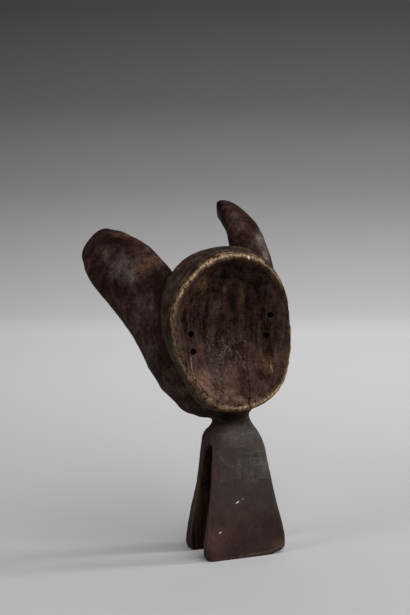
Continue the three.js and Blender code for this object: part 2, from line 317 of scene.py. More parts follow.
# Fields on the near jaw, outlined in pixels, and how much lighter their wood is
FIELDS = [
    {
        "outline": [(231, 433), (236, 420), (246, 421), (255, 428), (262, 441), (265, 449)]
        + [(260, 451), (254, 451), (248, 448), (240, 446), (227, 446), (221, 445), (220, 433)],
        "tone": 0.08,
    },
    {
        "outline": [(240, 453), (251, 449), (257, 453), (261, 461), (262, 470), (260, 477)]
        + [(251, 481), (242, 481), (240, 478), (240, 466)],
        "tone": -0.13,
    },
    {
        "outline": [(212, 432), (262, 430), (268, 455), (273, 480), (260, 477), (251, 481)]
        + [(242, 481), (240, 478), (231, 478), (229, 481), (212, 481)],
        "tone": 0.09,
    },
]
# How softly a field ends, in pixels
FIELD_EDGE = 1.2

# Colours of the wood and of what lies on it, as linear red, green and blue
COLOURS = {
    "umber": (0.019, 0.0088, 0.0072),
    "brown": (0.04, 0.0185, 0.0165),
    "russet": (0.048, 0.018, 0.016),
    "olive": (0.034, 0.023, 0.016),
    "mauve": (0.045, 0.0265, 0.024),
    "mauve_grey": (0.058, 0.0455, 0.041),
    "mauve_pale": (0.058, 0.039, 0.036),
    "red": (0.112, 0.055, 0.048),
    "ash_and_painted_highlight": (0.112, 0.086, 0.078),
    "jaw_ash": (0.092, 0.082, 0.072),
    "wall_dark": (0.019, 0.0125, 0.009),
    "wall_pale": (0.074, 0.052, 0.0345),
    "bowl": (0.054, 0.03, 0.024),
    "bowl_pale": (0.08, 0.046, 0.028),
    "bowl_dark": (0.018, 0.009, 0.008),
    "hewn_olive": (0.02, 0.014, 0.008),
    "hewn_red": (0.058, 0.019, 0.015),
    "hewn_dark": (0.007, 0.004, 0.003),
    "warm": (0.135, 0.074, 0.048),
    "ochre": (0.14, 0.078, 0.03),
    "worn": (0.095, 0.058, 0.046),
    "rim_dark": (0.035, 0.018, 0.011),
    "rim_brown": (0.105, 0.062, 0.036),
    "tan_dark": (0.07, 0.042, 0.025),
    "tan": (0.31, 0.192, 0.11),
    "bare": (0.57, 0.405, 0.265),
    "crackle_dark": (0.016, 0.01, 0.008),
    "crackle_pale": (0.17, 0.12, 0.096),
    "dust": (0.16, 0.12, 0.098),
    "scratch": (0.42, 0.31, 0.225),
    "painted_glint": (0.26, 0.225, 0.21),
    "scraped": (0.14, 0.13, 0.12),
    "dark_wood_and_painted_shade": (0.008, 0.0045, 0.004),
    "crevice": (0.006, 0.004, 0.0035),
    "chip": (0.85, 0.82, 0.76),
    "crack_and_painted_crevice_shade": (0.004, 0.003, 0.002),
    "pit": (0.002, 0.0015, 0.001),
}

# Noises of the wood. Scales count blobs to a metre along X, Y and Z, or round the rim, back
# from it and out from its centre where a noise follows the rim.
NOISES = {
    "broad": {"scale": (26, 26, 20)},
    "drift": {"scale": (48, 40, 34), "roughness": 0.6, "distortion": 0.6},
    "patch": {"scale": (80, 80, 64), "detail": 6, "roughness": 0.65},
    "mottle": {"scale": (240, 240, 170), "detail": 5, "roughness": 0.65},
    "fleck": {"scale": (460, 460, 400), "roughness": 0.7},
    "streak": {"scale": (85, 60, 11), "detail": 5, "roughness": 0.6, "distortion": 0.5},
    "fibre": {"scale": (340, 300, 30), "roughness": 0.6, "distortion": 0.3},
    "grain": {"scale": (560, 560, 45), "detail": 5, "roughness": 0.6, "distortion": 0.3},
    "chatter": {"scale": (40, 40, 620), "roughness": 0.6, "distortion": 0.2},
    "hoop": {
        "scale": (16, 330, 200), "detail": 5, "roughness": 0.66, "distortion": 0.4, "by_rim": True
    },
    "thread": {"scale": (95, 620, 620), "roughness": 0.65, "distortion": 0.5, "by_rim": True},
}

# Sweep behind and below the mask
SWEEP_WIDTH = 6.0
SWEEP_FRONT = -1.6
SWEEP_BACK = 2.0
SWEEP_BEND = 0.35
SWEEP_BEND_STEPS = 24
SWEEP_HEIGHT = 2.2
# Height in metres and tone of the sweep's paper, darker upwards as painted shade
SWEEP_TONES_AND_PAINTED_SHADE = [
    (0.0, 0.575), (0.04, 0.44), (0.1, 0.385), (0.19, 0.33),
    (0.31, 0.262), (0.44, 0.19), (0.56, 0.115), (0.8, 0.056)
]

# Lights: place, the point they face and size in metres, power in watts, and any narrower spread
LIGHTS = {
    "key": {"at": (0.52, -1.63, 2.43), "faces": (-0.02, 0, 0.22), "size": (3.4, 2.8), "power": 68},
    "right": {"at": (3.3, -0.68, 1.5), "faces": (-0.02, 0, 0.15), "size": (0.6, 0.5), "power": 56},
    "left": {"at": (-1.4, -0.3, 1.2), "faces": (-0.02, 0, 0.2), "size": (0.4, 0.4), "power": 5},
    "backdrop": {
        "at": (0.56, 1.09, 2.1), "faces": (0.68, 1.53, 0), "size": (1.7, 1.0), "power": 9,
        "spread": math.radians(100),
    },
}
WORLD_LIGHT = 0.05


def ramp(low, high, value):
    """0 below low, 1 above high, and smooth between them. High may be less than low."""
    t = np.clip((value - low) / (high - low), 0, 1)
    return t * t * (3 - 2 * t)


def ramp_mm(low, high, value):
    """The same from low to high in millimetres, for a value in metres."""
    return ramp(low * MM, high * MM, value)


def add_object(name, data):
    """A new object of the scene that shows this data."""
    thing = bpy.data.objects.new(name, data)
    bpy.context.scene.collection.objects.link(thing)
    return thing


# Camera and the places of the photograph's pixels


def make_camera():
    data = bpy.data.cameras.new("camera")
    data.sensor_fit = "VERTICAL"
    data.sensor_height = SENSOR
    data.lens = LENS
    data.clip_end = CAMERA_CLIP_END
    camera = add_object("camera", data)
    camera.location = (
        -math.sin(CAMERA_AZIMUTH) * CAMERA_DISTANCE,
        -math.cos(CAMERA_AZIMUTH) * CAMERA_DISTANCE + FEET_MIDDLE_Y,
        CAMERA_HEIGHT,
    )
    camera.rotation_euler = (math.pi / 2 - CAMERA_PITCH, 0, -CAMERA_HEADING)
    bpy.context.scene.camera = camera
    bpy.context.view_layer.update()
    return camera


class View:
    """A mesh as the camera sees it. Its axes are the camera's right, up and back."""

    def __init__(self, mesh, camera):
        self.start = camera.location
        self.turn = camera.matrix_world.to_3x3()
        self.axes = np.array(self.turn)
        self.tree = BVHTree.FromPolygons(
            [v.co for v in mesh.vertices], [tuple(p.vertices) for p in mesh.polygons]
        )

    def hit(self, pixel):
        """The point of the surface that a pixel of the photograph shows, or None."""
        across = pixel[0] - PHOTO_SIZE[0] / 2
        down = pixel[1] - PHOTO_SIZE[1] / 2
        way = self.turn @ Vector((across, -down, -FOCAL_PIXELS))
        return self.tree.ray_cast(self.start, way.normalized())[0]

    def away(self, points, pixel):
        """How far each point lies right, up and back from the place that a pixel shows."""
        hit = self.hit(pixel)
        return (points - np.array(NOWHERE if hit is None else hit)) @ self.axes

    def under(self, path):
        """Points on the surface under a line through the path's pixels, a short step apart."""
        found = []
        for (ax, ay), (bx, by) in zip(path, path[1:]):
            count = max(1, math.ceil(math.hypot(bx - ax, by - ay) / PIXEL_STEP))
            for i in range(count + 1):
                t = i / count
                hit = self.hit((ax + (bx - ax) * t, ay + (by - ay) * t))
                if hit is not None:
                    found.append(hit)
        return found

    def pixels(self, points):
        """How far across and down the photograph each point shows."""
        local = (points - np.array(self.start)) @ self.axes
        across = PHOTO_SIZE[0] / 2 - FOCAL_PIXELS * local[:, 0] / local[:, 2]
        down = PHOTO_SIZE[1] / 2 + FOCAL_PIXELS * local[:, 1] / local[:, 2]
        return across, down


# Mesh


def cap_place(point):
    """Where the leaned cap carries a point of the upright cap, given in millimetres."""
    x, y, z = (value * MM for value in point)
    c, s = math.cos(CAP_LEAN), math.sin(CAP_LEAN)
    up = z - NECK[1]
    return Vector((NECK[0] + c * x - s * up, y + FEET_MIDDLE_Y, NECK[1] + s * x + c * up))


def in_bore(place):
    """Whether a point of the solid is on the wall or the end of a lacing hole."""
    for hole in LACING_HOLES:
        mouth = cap_place(hole["mouth"])
        way = cap_place(hole["end"]) - mouth
        length = way.length + BORE_OVERRUN
        way.normalize()
        along = (place - mouth).dot(way)
        across = (place - mouth - way * along).length
        if -BORE_LEAD_IN < along < length + BORE_SLACK and across < BORE_RADIUS + BORE_SLACK:
            return True
    return False


def fine_copy(node, name):
    """A new object with an even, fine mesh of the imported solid, its lacing holes stopped up.

    The holes are cut again, round and crisp, once the surface round them is carved.
    """
    mesh = node.data.copy()
    work = bmesh.new()
    work.from_mesh(mesh)
    bmesh.ops.remove_doubles(work, verts=work.verts, dist=WELD)
    drilled = {v for v in work.verts if in_bore(v.co)}
    walls = [f for f in work.faces if drilled.issuperset(f.verts)]
    bmesh.ops.delete(work, geom=walls, context="FACES")
    bmesh.ops.holes_fill(work, edges=[e for e in work.edges if e.is_boundary], sides=0)
    work.to_mesh(mesh)
    work.free()
    piece = add_object(name, mesh)
    remesh = piece.modifiers.new("fine", "REMESH")
    remesh.mode = "VOXEL"
    remesh.voxel_size = VOXEL
    graph = bpy.context.evaluated_depsgraph_get()
    fine = bpy.data.meshes.new_from_object(piece.evaluated_get(graph))
    piece.modifiers.clear()
    piece.data = fine
    fine.name = name
    fine.materials.clear()
    return piece


def rows_of(items, key, width, kind):
    """One property of all these items, as an array with a row for each."""
    flat = np.empty(len(items) * width, kind)
    items.foreach_get(key, flat)
    return flat.reshape(-1, width)


def get_points(mesh):
    return rows_of(mesh.vertices, "co", 3, np.float32).astype(float)


def get_normals(mesh):
    return rows_of(mesh.vertex_normals, "vector", 3, np.float32).astype(float)


def get_edges(mesh):
    return rows_of(mesh.edges, "vertices", 2, np.int32)


def set_points(mesh, points):
    mesh.vertices.foreach_set("co", points.astype(np.float32).ravel())
    mesh.update()


def push(mesh, amount):
    """Moves each point along its normal, outwards where the amount is positive."""
    set_points(mesh, get_points(mesh) + get_normals(mesh) * amount[:, None])


def neighbour_mean(values, edges):
    """The mean of each point's neighbours, for values with one or more columns."""
    count = len(values)
    a, b = edges[:, 0], edges[:, 1]
    share = np.bincount(a, minlength=count) + np.bincount(b, minlength=count)
    columns = []
    for column in values.reshape(count, -1).T:
        total = np.bincount(a, column[b], count) + np.bincount(b, column[a], count)
        columns.append(total / np.maximum(share, 1))
    return np.stack(columns, 1).reshape(values.shape)


def smoothed(values, edges, rounds, keep_size=True):
    """Values smoothed along the surface. Keeping size undoes the shrinking of each round."""
    for _ in range(rounds):
        values = values + SMOOTH_SHARE * (neighbour_mean(values, edges) - values)
        if keep_size:
            values = values - REGROW_SHARE * (neighbour_mean(values, edges) - values)
    return values


def tree_of(places):
    tree = KDTree(len(places))
    for i, place in enumerate(places):
        tree.insert(place, i)
    tree.balance()
    return tree


def refine(mesh, places, reach):
    """Halves the edges that lie within reach of any of the places."""
    tree = tree_of(places)
    work = bmesh.new()
    work.from_mesh(mesh)
    close = {v for v in work.verts if tree.find(v.co)[2] < reach}
    edges = [e for e in work.edges if e.verts[0] in close and e.verts[1] in close]
    bmesh.ops.subdivide_edges(work, edges=edges, cuts=1, use_grid_fill=True)
    work.to_mesh(mesh)
    work.free()
    mesh.update()


# Noise on points


def cloud(points, size, octaves=1, seed=0):
    """Soft noise of about -1 to 1, with blobs of the given size in mm along X, Y and Z."""
    scaled = points / (np.asarray(size) * MM) + seed * CLOUD_SHIFT
    if octaves == 1:
        return np.array([noise.noise(p) for p in scaled])
    return np.array([noise.fractal(p, 1.0, 2.0, octaves) for p in scaled])


def waves(points, mark, octaves=1):
    """Soft swells and hollows of a tool mark's size and height."""
    return mark["height"] * MM * cloud(points, mark["size"], octaves, mark["seed"])


def dishes(points, mark):
    """Shallow dishes that meet in ridges, as an adze leaves them, of a tool mark's size."""
    scaled = points / (np.asarray(mark["size"]) * MM) + mark["seed"] * DISH_SHIFT
    rise = np.array([min(noise.voronoi(p)[0][0] ** 2, 1.0) for p in scaled])
    return mark["height"] * MM * (rise - mark["sunk"])


# Where a point lies on the carving


class Layout:
    """Where each point lies in the leaned cap and on the jaws, and masks that follow.

    Depth is measured back from the rim's plane and inset inwards from its outer edge. Each
    mask is 1 on the part of the carving that it is named for and 0 away from it.
    """

    def __init__(self, points, normals):
        dx = points[:, 0] - NECK[0]
        dz = points[:, 2] - NECK[1]
        c, s = math.cos(CAP_LEAN), math.sin(CAP_LEAN)
        x = c * dx + s * dz - RIM_CENTRE[0]
        self.above_centre = c * dz - s * dx + NECK[1] - RIM_CENTRE[1]
        self.depth = points[:, 1] - FEET_MIDDLE_Y - RIM_Y
        self.angle = np.arctan2(self.above_centre, x)
        radius = np.hypot(x, self.above_centre)
        rim_radius = around(RIM_RADII, self.angle) * MM
        self.inset = rim_radius - radius
        turned = np.arctan2(x, self.above_centre) * RIM_TURN_RADIUS
        self.along_rim = np.stack([turned, self.depth, radius], 1)

        floor = BOWL_DEPTH * (1 - (radius / (rim_radius - RIM_WIDTH)) ** 2)
        self.bowl = ramp(RIM_WIDTH - 1 * MM, RIM_WIDTH + 1.5 * MM, self.inset)
        self.bowl = self.bowl * ramp(floor + 9 * MM, floor + 5 * MM, self.depth)
        self.rim = ramp_mm(4, 1, self.depth) * ramp_mm(-8, -5, self.inset)
        self.rim = self.rim * (1 - self.bowl) * ramp(0.2, 0.6, -normals[:, 1])

        self.height = points[:, 2]
        self.jaws = ramp(JAW_TOP + 10 * MM, JAW_TOP, self.height)
        behind = points[:, 1] - FEET_MIDDLE_Y
        front_inside = ramp(0.3, 0.8, normals[:, 1]) * ramp_mm(3, 0, behind)
        back_inside = ramp(0.3, 0.8, -normals[:, 1]) * ramp_mm(-6, 0, behind)
        self.mouth = self.jaws * np.maximum(front_inside, back_inside)
        self.front_jaw = self.jaws * ramp_mm(0, -8, behind)
        self.cap_wall = ramp_mm(52, 40, self.depth) * (1 - self.bowl) * (1 - self.jaws)
        self.cap_wall = self.cap_wall * ramp_mm(-30, -24, self.inset)


def around(values, angle):
    """The value at an angle, by a smooth closed curve through evenly spaced values."""
    values = np.array(values, float)
    place = (angle / (2 * math.pi) * len(values)) % len(values)
    i = np.floor(place).astype(int)
    t = place - i
    a, b, c, d = (values[(i + k) % len(values)] for k in (-1, 0, 1, 2))
    bend = (2 * a - 5 * b + 4 * c - d) * t**2 + (3 * (b - c) + d - a) * t**3
    return b + 0.5 * ((c - a) * t + bend)


# Carving


def carve(mesh, camera):
    """Turns the even mesh into the carved surface, and stores the masks on its points."""
    start = get_points(mesh)
    rim_ring = smooth_over(mesh, camera)
    refine_marks(mesh, camera, rim_ring)
    shape_rim(mesh)
    cut_tool_marks(mesh)
    masks = {"tone": cut_scallops(mesh, camera)}
    masks.update(cut_lines(mesh, camera))
    masks["pit"] = cut_pits(mesh, camera)
    # The carved surface stays within the solid's own box
    set_points(mesh, np.clip(get_points(mesh), start.min(0), start.max(0)))
    store_masks(mesh, camera, masks)


def smooth_over(mesh, camera):
    """Smooths the facets away, least at the rim and the soles. Returns points on the rim."""
    start = get_points(mesh)
    normals = get_normals(mesh)
    edges = get_edges(mesh)
    layout = Layout(start, normals)
    soft = smoothed(start, edges, SMOOTH_ROUNDS)
    crisp = smoothed(start, edges, CRISP_ROUNDS)
    hold = np.clip(layout.rim + ramp_mm(6, 2, layout.height), 0, 1)
    hold = smoothed(hold, edges, HOLD_ROUNDS, keep_size=False)[:, None]
    points = soft + (crisp - soft) * hold
    points += root_swell(points, edges, layout, View(mesh, camera))
    sole = (start[:, 2] < 1.2 * MM) & (normals[:, 2] < -0.7)
    points[sole, 2] = 0
    set_points(mesh, points)
    return points[layout.rim > 0.4]


def root_swell(points, edges, layout, view):
    """How far each point moves to round and fill out the root of the left horn."""
    away = np.linalg.norm(view.away(points, ROOT_SWELL["at"]), axis=1)
    reach = ROOT_SWELL["reach"] * MM
    share = ramp(reach, reach / 4, away) * (1 - layout.rim)
    way = view.axes[:, :2] @ ROOT_SWELL["way"]
    rounded = smoothed(points, edges, ROOT_SWELL_ROUNDS, keep_size=False)
    return share[:, None] * (rounded - points + way * ROOT_SWELL["height"] * MM)


def refine_marks(mesh, camera, rim_ring):
    """Makes the mesh finer along the rim, round the lacing holes and along the marks."""
    view = View(mesh, camera)
    cuts = [point for mark in CRACKS + CHIPS for point in view.under(mark["path"])]
    lines = [point for mark in PALE_LINES for point in view.under(mark["path"])]
    mouths = [cap_place(hole["mouth"]) for hole in LACING_HOLES]
    refine(mesh, [*rim_ring[::3], *cuts, *lines], MARK_REACH)
    refine(mesh, mouths, MOUTH_REACH)
    refine(mesh, cuts, CUT_REACH)
    refine(mesh, mouths, MOUTH_EDGE_REACH)


def shape_rim(mesh):
    """Slopes the rim into the bowl inside its crest, waves its face and wears its edges."""
    points = get_points(mesh)
    layout = Layout(points, get_normals(mesh))
    crest = around(RIM_WEAR_WIDTH, layout.angle) * MM
    inside = ramp_mm(0, 6.5, layout.inset - crest + 1.5 * MM)
    bevel = RIM_BEVEL * inside * ramp_mm(18, 2, layout.depth)
    face = ramp_mm(7, 3, layout.depth) * ramp_mm(-3, 1, layout.inset)
    wave = RIM_WAVE * (0.5 + 0.5 * cloud(points, 18, seed=2))
    nicks = RIM_NICK * ramp(0.2, 0.9, cloud(points, 8, 3, seed=5))
    nicks *= around(RIM_WEAR, layout.angle)
    near_cap = ramp_mm(-12, -6, layout.inset) * (1 - layout.jaws)
    points[:, 1] += near_cap * (bevel + face * (wave + nicks))
    set_points(mesh, points)

    layout = Layout(points, get_normals(mesh))
    edge = ramp_mm(5, 1, layout.depth) * ramp_mm(3, 0, layout.inset)
    edge = edge * ramp_mm(-7, -3, layout.inset)
    wear = 0.5 + 0.5 * cloud(points, 9, 2, seed=9)
    push(mesh, -RIM_EDGE_WEAR * edge * wear)


def cut_tool_marks(mesh):
    """Adze dishes outside, gouge marks in the bowl and rough hewing between the jaws."""
    points = get_points(mesh)
    layout = Layout(points, get_normals(mesh))
    outside = (1 - layout.bowl) * (1 - layout.rim) * (1 - layout.mouth)
    on_jaws = layout.front_jaw * ramp_mm(158, 148, layout.height)
    facets = (1 - on_jaws) * (1 - 0.7 * layout.cap_wall) * dishes(points, FACETS)
    chops = (0.45 - 0.35 * on_jaws) * dishes(points, CHOPS)
    amount = outside * (waves(points, SWELL) + facets + chops)
    amount += layout.bowl * dishes(points, GOUGES)
    amount += layout.bowl * (waves(points, STREAKS, 2) + waves(points, CHATTER))
    amount += layout.mouth * dishes(points, HEWING)
    push(mesh, amount * ramp_mm(1.5, 5, layout.height))


def cut_scallops(mesh, camera):
    """Cuts flat dishes where the photograph shows them; returns each point's painted shading."""
    points = get_points(mesh)
    view = View(mesh, camera)
    ragged = 0.10 * cloud(points, 14, 2, seed=14)
    deepest = np.zeros(len(points))
    tone = np.zeros(len(points))
    for dish in SCALLOPS:
        away = view.away(points, dish["at"])
        turn = math.radians(dish.get("turn", 0))
        wide = away[:, 0] * math.cos(turn) + away[:, 1] * math.sin(turn)
        high = away[:, 1] * math.cos(turn) - away[:, 0] * math.sin(turn)
        reach = np.hypot(wide / dish["size"][0], high / dish["size"][1]) / MM
        reach = np.hypot(reach, away[:, 2] / SCALLOP_THICKNESS) + ragged
        depth = dish["depth"] * MM * (1 - np.clip(reach, 0, 1) ** 3)
        tone = np.where(depth > deepest, dish.get("tone", 0) * ramp(1.05, 0.9, reach), tone)
        deepest = np.maximum(deepest, depth)
    push(mesh, -deepest)
    return 0.5 + tone


def cut_lines(mesh, camera):
    """Cuts the cracks and chips. Returns how far each point is in one, or in a pale line."""
    points = get_points(mesh)
    view = View(mesh, camera)
    amount = np.zeros(len(points))
    masks = {}
    for name, marks in (("crack_and_painted_crevice_shade", CRACKS), ("chip", CHIPS), ("pale", PALE_LINES)):
        masks[name] = np.zeros(len(points))
        for mark in marks:
            inside = groove(points, view.under(mark["path"]), mark["width"] * MM)
            amount = np.minimum(amount, -mark.get("depth", 0) * MM * inside)
            masks[name] = np.maximum(masks[name], mark.get("share", 1) * inside)
    push(mesh, amount)
    return masks


def groove(points, places, width):
    """1 in the middle of a mark through these places, and 0 beyond its width."""
    line = np.array(places)
    close = np.all((points > line.min(0) - width) & (points < line.max(0) + width), axis=1)
    tree = tree_of(places)
    away = np.array([tree.find(point)[2] for point in points[close]])
    share = np.zeros(len(points))
    share[close] = ramp(width / 2 + 0.35 * MM, width / 2 - 0.25 * MM, away)
    return share


def cut_pits(mesh, camera):
    """Cuts each lacing hole as a blind pit, and returns how far inside one each point is."""
    points = get_points(mesh)
    inside = np.zeros(len(points))
    moved = points.copy()
    for hole in LACING_HOLES:
        mouth = cap_place(hole["mouth"])
        way = (cap_place(hole["end"]) - mouth).normalized()
        sight = np.array((mouth - camera.location).normalized())
        away = points - np.array(mouth)
        along = away @ sight
        across = np.linalg.norm(away - along[:, None] * sight, axis=1)
        across[np.abs(along) > 3 * PIT_RADIUS] = np.inf
        share = ramp(PIT_RADIUS, PIT_RADIUS - 0.6 * MM, across)
        moved += np.array(way) * PIT_DEPTH * share[:, None]
        inside = np.maximum(inside, ramp(PIT_RADIUS + 0.5 * MM, PIT_RADIUS + 0.1 * MM, across))
    set_points(mesh, moved)
    return inside


# Masks for the material


def stain_mask(points, ragged, view, pixel, size, share):
    """A soft, ragged patch round the place on the surface that a pixel shows."""
    size = (size[0] * MM, size[1] * MM, STAIN_THICKNESS)
    reach = np.sqrt(((view.away(points, pixel) / size) ** 2).sum(1)) + ragged
    return share * ramp(1.5, 0.1, reach)


def depth_in(outline, across, down):
    """How many pixels each place lies inside an outline, less than 0 where it is outside."""
    inside = np.zeros(len(across), bool)
    off = np.full(len(across), np.inf)
    for (ax, ay), (bx, by) in zip(outline, outline[1:] + outline[:1]):
        wide, high = bx - ax, by - ay
        t = ((across - ax) * wide + (down - ay) * high) / (wide**2 + high**2)
        t = np.clip(t, 0, 1)
        off = np.minimum(off, np.hypot(across - ax - t * wide, down - ay - t * high))
        if high:
            meets = (down > min(ay, by)) & (down <= max(ay, by))
            inside ^= meets & (across < ax + (down - ay) / high * wide)
    return np.where(inside, off, -off)


def field_tone(points, normals, view):
    """How much lighter or darker each point is for lying in one of the fields."""
    across, down = view.pixels(points)
    across = across + 1.5 * cloud(points, 9, 2, seed=15)
    tone = np.zeros(len(points))
    for field in FIELDS:
        share = ramp(-FIELD_EDGE, FIELD_EDGE, depth_in(field["outline"], across, down))
        tone += field["tone"] * share * ramp(0.2, 0.5, -normals[:, 1])
    return tone


def rim_masks(points, layout):
    """Where the rim is, where its crest is worn, and where the bright line runs along it."""
    width = around(RIM_WEAR_WIDTH, layout.angle) * MM
    ragged = 1.3 * MM * cloud(points, 5, 3, seed=13)
    inset = layout.inset + ragged
    crest = ramp(width + 1.4 * MM, width - 1.0 * MM, inset) * ramp_mm(-2.5, -0.8, inset)
    off_line = np.abs(layout.inset + 0.6 * ragged - around(RIM_LINE_INSET, layout.angle) * MM)
    line = ramp_mm(1.9, 0.7, off_line)
    front = ramp_mm(7, 4, layout.depth) * (1 - layout.jaws)
    return {
        "rim": layout.rim,
        "crest": crest * front * around(RIM_WEAR, layout.angle),
        "rim_line": line * front * around(RIM_LINE, layout.angle),
    }


def store_masks(mesh, camera, masks):
    """Stores these masks and those of the carving's parts and stains on the points."""
    points = get_points(mesh)
    normals = get_normals(mesh)
    layout = Layout(points, normals)
    view = View(mesh, camera)
    level = smoothed(points, get_edges(mesh), LEVEL_ROUNDS, keep_size=False)
    hollow = ((level - points) * normals).sum(1)
    horns = (1 - layout.cap_wall) * (1 - layout.jaws) * ramp_mm(6, 12, layout.depth)
    masks.update(rim_masks(points, layout))
    masks["tone"] = masks["tone"] + layout.front_jaw * field_tone(points, normals, view)
    masks["worn"] = ramp_mm(0.05, 0.9, -hollow)
    masks["crevice"] = ramp_mm(0.15, 1.6, hollow)
    masks["bowl"] = layout.bowl
    # Painted light: lighter towards the bottom of the bowl, whose top lies in the rim's shade
    masks["low"] = layout.bowl * ramp_mm(15, -55, layout.above_centre)
    masks["wall"] = layout.cap_wall
    # Painted shade: the horns darker where they turn away from the front
    masks["painted_side_shade"] = horns * ramp(0.45, -0.1, -normals[:, 1])
    masks["jaws"] = layout.jaws
    masks["mouth"] = layout.mouth
    masks["upper"] = layout.front_jaw * ramp_mm(40, 75, layout.height)
    ragged = 0.4 * cloud(points, (8, 8, 11), 4, seed=11)
    for name, stains in STAINS.items():
        masks[name] = np.max([stain_mask(points, ragged, view, *stain) for stain in stains], 0)
    for name, values in masks.items():
        attribute = mesh.attributes.new(name, "FLOAT", "POINT")
        attribute.data.foreach_set("value", np.clip(values, 0, 1).astype(np.float32))
    along_rim = mesh.attributes.new("along_rim", "FLOAT_VECTOR", "POINT")
    along_rim.data.foreach_set("vector", layout.along_rim.astype(np.float32).ravel())


# Material


class Nodes:
    """Short calls to add and join the nodes of one material."""

    def __init__(self, name):
        self.material = bpy.data.materials.new(name)
        self.material.use_nodes = True
        self.tree = self.material.node_tree
        self.tree.nodes.clear()

    def add(self, kind, inputs=None, **settings):
        """A node with these settings, its inputs joined to outputs or set to values."""
        node = self.tree.nodes.new(kind)
        for name, value in settings.items():
            setattr(node, name, value)
        for name, value in (inputs or {}).items():
            if isinstance(value, bpy.types.NodeSocket):
                self.tree.links.new(value, node.inputs[name])
            elif isinstance(value, str):
                node.inputs[name].default_value = (*COLOURS[value], 1)
            else:
                node.inputs[name].default_value = value
        return node

    def mask(self, name):
        return self.add("ShaderNodeAttribute", attribute_name=name).outputs["Fac"]

    def math(self, operation, a, b):
        return self.add("ShaderNodeMath", {0: a, 1: b}, operation=operation).outputs[0]

    def product(self, first, *others):
        for other in others:
            first = self.math("MULTIPLY", first, other)
        return first

    def total(self, first, *others):
        for other in others:
            first = self.math("ADD", first, other)
        return first

    def mix(self, share, a, b, blend="MIX"):
        inputs = {0: share, 6: a, 7: b}
        return self.add("ShaderNodeMix", inputs, data_type="RGBA", blend_type=blend).outputs[2]

    def span(self, value, low, high, to_low=0.0, to_high=1.0):
        """Carries values from low to high smoothly to another span, and stays within it."""
        inputs = {
            "Value": value, "From Min": low, "From Max": high, "To Min": to_low, "To Max": to_high
        }
        return self.add("ShaderNodeMapRange", inputs, interpolation_type="SMOOTHSTEP").outputs[0]

    def place(self, scale):
        """Places on the object, upright in the leaned cap."""
        place = self.add("ShaderNodeTexCoord").outputs["Object"]
        inputs = {"Vector": place, "Rotation": (0, CAP_LEAN, 0), "Scale": scale}
        return self.add("ShaderNodeMapping", inputs).outputs[0]

    def rim_place(self, scale):
        """Places that run round the rim, back from it, and out from its centre."""
        place = self.add("ShaderNodeAttribute", attribute_name="along_rim").outputs["Vector"]
        scaled = self.add("ShaderNodeVectorMath", {0: place, 1: scale}, operation="MULTIPLY")
        return scaled.outputs[0]

    def noise(self, scale, detail=4, roughness=0.55, distortion=0.0, by_rim=False):
        inputs = {
            "Vector": self.rim_place(scale) if by_rim else self.place(scale),
            "Scale": 1.0,
            "Detail": detail,
            "Roughness": roughness,
            "Distortion": distortion,
        }
        return self.add("ShaderNodeTexNoise", inputs).outputs["Fac"]

    def web(self, scale, width):
        """Crooked thin lines between cells, scale of them to a metre."""
        place = self.place((scale, scale, scale))
        bend = self.add("ShaderNodeTexNoise", {"Vector": place, "Scale": 1.3, "Detail": 3.0})
        inputs = {0: bend.outputs["Color"], 1: (0.9, 0.9, 0.9), 2: place}
        bent = self.add("ShaderNodeVectorMath", inputs, operation="MULTIPLY_ADD").outputs[0]
        inputs = {"Vector": bent, "Scale": 1.0}
        cells = self.add("ShaderNodeTexVoronoi", inputs, feature="DISTANCE_TO_EDGE")
        return self.span(cells.outputs["Distance"], width, width * 0.25)


class Wood(Nodes):
    """The nodes of the wood, with its noises by name and the colour laid so far."""

    def __init__(self):
        super().__init__("carved_wood")
        self.noises = {name: self.noise(**settings) for name, settings in NOISES.items()}
        self.off_jaws = self.math("SUBTRACT", 1.0, self.mask("jaws"))
        self.colour = self.mix(self.by("broad", 0.36, 0.62), "umber", "brown")

    def by(self, name, low, high, to_low=0.0, to_high=1.0):
        """A share that follows one of the noises."""
        return self.span(self.noises[name], low, high, to_low, to_high)

    def lay(self, colour, *shares):
        """Lays a colour over the ones before it, by the product of these shares."""
        self.colour = self.mix(self.product(*shares), self.colour, colour)


def lay_wood(w):
    """The bare wood of the horns, the jaws, the cap's wall, the bowl and the mouth."""
    w.lay("russet", w.by("drift", 0.52, 0.66, 0.0, 0.7))
    w.lay("olive", w.by("drift", 0.46, 0.34, 0.0, 0.55))
    mauve = w.mix(w.mask("upper"), "mauve", "mauve_grey")
    mauve = w.mix(w.by("drift", 0.45, 0.62, 0.0, 0.4), mauve, "mauve_pale")
    w.lay(mauve, w.mask("jaws"), 0.9)
    w.lay("red", w.mask("red"), w.by("patch", 0.25, 0.6))
    # Grey wood, and on the horns a painted highlight
    ash_and_painted_highlight = w.mix(w.mask("upper"), "ash_and_painted_highlight", "jaw_ash")
    w.lay(ash_and_painted_highlight, w.mask("grey_and_painted_highlight"), w.by("mottle", 0.25, 0.6, 0.55, 1.0))
    hoops = w.mix(w.by("hoop", 0.36, 0.66), "wall_dark", "wall_pale")
    w.lay(hoops, w.mask("wall"), w.by("patch", 0.3, 0.65, 0.55, 1.0))
    w.lay("bowl", w.mask("bowl"), w.by("patch", 0.3, 0.7, 0.35, 0.9))
    w.lay("bowl_pale", w.mask("bowl"), w.by("streak", 0.55, 0.70), 0.35)
    w.lay("bowl_dark", w.mask("bowl"), w.by("streak", 0.47, 0.34), 0.5)
    hewn = w.mix(w.by("streak", 0.42, 0.58), "hewn_olive", "hewn_red")
    hewn = w.mix(w.by("fibre", 0.56, 0.44), hewn, "hewn_dark")
    w.lay(hewn, w.mask("mouth"), 0.9)
    # warm stains, and painted light in the lower left of the bowl
    w.lay("warm", w.mask("warm"), w.by("mottle", 0.2, 0.6, 0.5, 1.0))
    w.lay("ochre", w.mask("ochre"), w.by("mottle", 0.25, 0.6, 0.4, 1.0))
    w.lay("worn", w.mask("worn"), w.by("patch", 0.3, 0.7, 0.1, 0.7), w.off_jaws)


